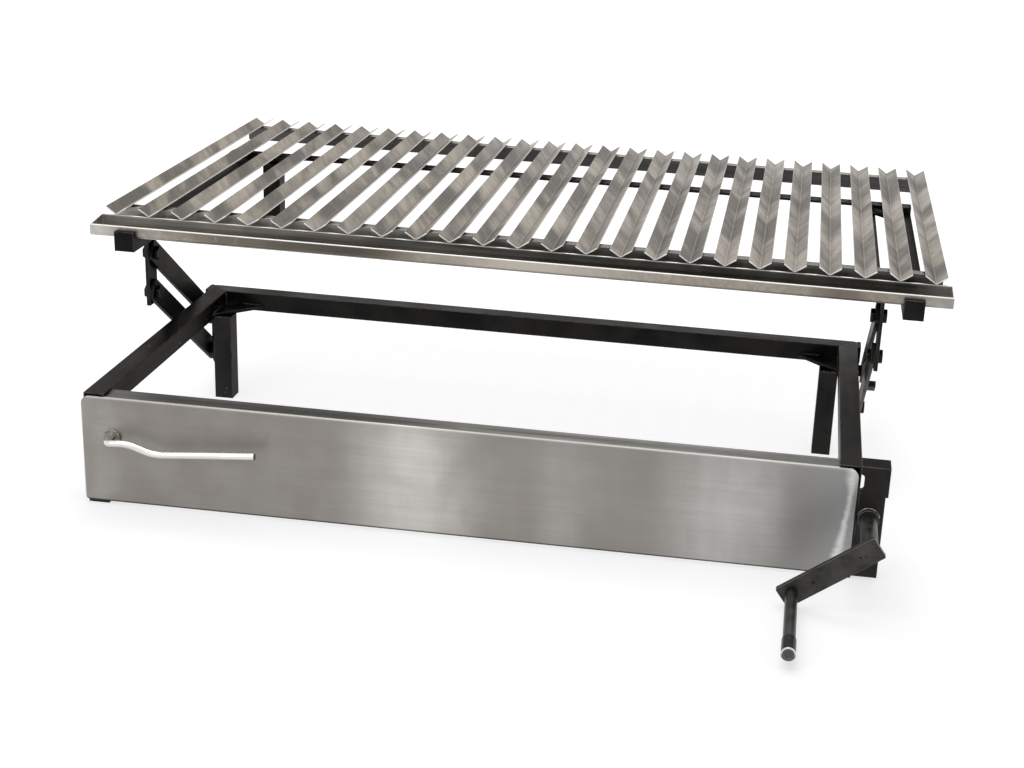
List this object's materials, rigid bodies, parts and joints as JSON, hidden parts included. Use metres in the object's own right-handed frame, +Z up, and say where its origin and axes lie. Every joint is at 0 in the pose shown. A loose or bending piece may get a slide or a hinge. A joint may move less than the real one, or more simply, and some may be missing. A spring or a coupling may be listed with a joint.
{
  "type": "argentine grill",
  "caption": "Height-adjustable V-slat grill: a grate on a carrier that parallel side arms raise over a low tube base, with a front crank and a side lever.",
  "frame": {"origin": "middle of the whole outline on the plane that the feet stand on", "axes": "+X to the right along the grate's width, +Y from the front panel to the back, +Z up"},
  "size_m": [1.073, 1.023, 0.3139],
  "materials": {
    "black_steel": "dark mill-scale steel tube and bar, dull satin",
    "stainless_panel": "stainless sheet brushed lengthwise",
    "stainless_slats": "folded stainless strip with cloudy heat tint and bright cut edges",
    "stainless_folded": "folded stainless sheet",
    "polished_rod": "polished stainless rod",
    "crank_steel": "bare dark steel bar, lightly scuffed",
    "bolt_steel": "blackened bolts"
  },
  "bodies": {
    "base": {"side_beam_left": "black_steel", "side_beam_right": "black_steel", "rear_beam": "black_steel", "front_leg_left": "black_steel", "front_leg_right": "black_steel", "rear_leg_left": "black_steel", "rear_leg_right": "black_steel", "base_braces": "black_steel", "front_panel": "stainless_panel", "crank_bracket": "black_steel", "crank_bearing": "crank_steel", "lever_bush": "polished_rod", "rear_lug_left": "black_steel", "rear_lug_right": "black_steel", "rear_pivot_bolts": "bolt_steel"},
    "lower_arm_left": {"lower_arm_left": "black_steel"},
    "lower_arm_right": {"lower_arm_right": "black_steel"},
    "upper_arm_left": {"upper_arm_left": "black_steel"},
    "upper_arm_right": {"upper_arm_right": "black_steel"},
    "carrier": {"rail_left": "black_steel", "rail_right": "black_steel", "front_cross_bar": "black_steel", "rear_cross_bar": "black_steel", "carrier_braces": "black_steel", "tie_and_post": "black_steel", "front_lug_left": "black_steel", "front_lug_right": "black_steel", "front_pivot_bolts": "bolt_steel"},
    "tray": {"grease_tray": "stainless_folded"},
    "grate": {"front_support": "stainless_folded", "rear_support": "stainless_folded", "slat_01": "stainless_slats", "slat_02": "stainless_slats", "slat_03": "stainless_slats", "slat_04": "stainless_slats", "slat_05": "stainless_slats", "slat_06": "stainless_slats", "slat_07": "stainless_slats", "slat_08": "stainless_slats", "slat_09": "stainless_slats", "slat_10": "stainless_slats", "slat_11": "stainless_slats", "slat_12": "stainless_slats", "slat_13": "stainless_slats", "slat_14": "stainless_slats", "slat_15": "stainless_slats", "slat_16": "stainless_slats", "slat_17": "stainless_slats", "slat_18": "stainless_slats", "slat_19": "stainless_slats", "slat_20": "stainless_slats", "slat_21": "stainless_slats", "slat_22": "stainless_slats", "slat_23": "stainless_slats", "slat_24": "stainless_slats", "slat_25": "stainless_slats"},
    "crank": {"crank_shaft": "crank_steel", "crank_arm": "crank_steel", "crank_handle": "crank_steel"},
    "lever": {"lever": "polished_rod"}
  },
  "joints": [
    {"name": "lift", "type": "hinge", "parent": "base", "child": "lower_arm_left", "pos_m": [-0.492, 0.17652, 0.042], "axis": [1, 0, 0], "range_deg": [0, 29.8]},
    {"name": "lower_arm_right_swing", "type": "hinge", "parent": "base", "child": "lower_arm_right", "pos_m": [0.452, 0.17652, 0.042], "axis": [1, 0, 0], "range_deg": [0, 29.8]},
    {"name": "upper_arm_left_swing", "type": "hinge", "parent": "base", "child": "upper_arm_left", "pos_m": [-0.492, 0.17652, 0.096], "axis": [1, 0, 0], "range_deg": [0, 29.8]},
    {"name": "upper_arm_right_swing", "type": "hinge", "parent": "base", "child": "upper_arm_right", "pos_m": [0.452, 0.17652, 0.096], "axis": [1, 0, 0], "range_deg": [0, 29.8]},
    {"name": "carrier_level", "type": "hinge", "parent": "lower_arm_left", "child": "carrier", "pos_m": [-0.492, -0.01932, 0.18586], "axis": [1, 0, 0], "range_deg": [-29.8, 0]},
    {"name": "crank_turn", "type": "hinge", "parent": "base", "child": "crank", "pos_m": [0.453, -0.28148, 0.0774], "axis": [0, -1, 0], "range_deg": [0, 537]},
    {"name": "lever_turn", "type": "hinge", "parent": "base", "child": "lever", "pos_m": [-0.4455, -0.28148, 0.0885], "axis": [0, -1, 0], "range_deg": [0, 90]},
    {"name": "grate_lift_off", "type": "slide", "parent": "carrier", "child": "grate", "axis": [0, 0, 1], "range_m": [0, 0.08]},
    {"name": "tray_pull_out", "type": "slide", "parent": "carrier", "child": "tray", "axis": [1, 0, 0], "range_m": [0, 0.3]}
  ],
  "couplings": [
    {"joint": "lower_arm_right_swing", "follows": "lift", "ratio": 1},
    {"joint": "upper_arm_left_swing", "follows": "lift", "ratio": 1},
    {"joint": "upper_arm_right_swing", "follows": "lift", "ratio": 1},
    {"joint": "carrier_level", "follows": "lift", "ratio": -1},
    {"joint": "crank_turn", "follows": "lift", "ratio": 18}
  ]
}
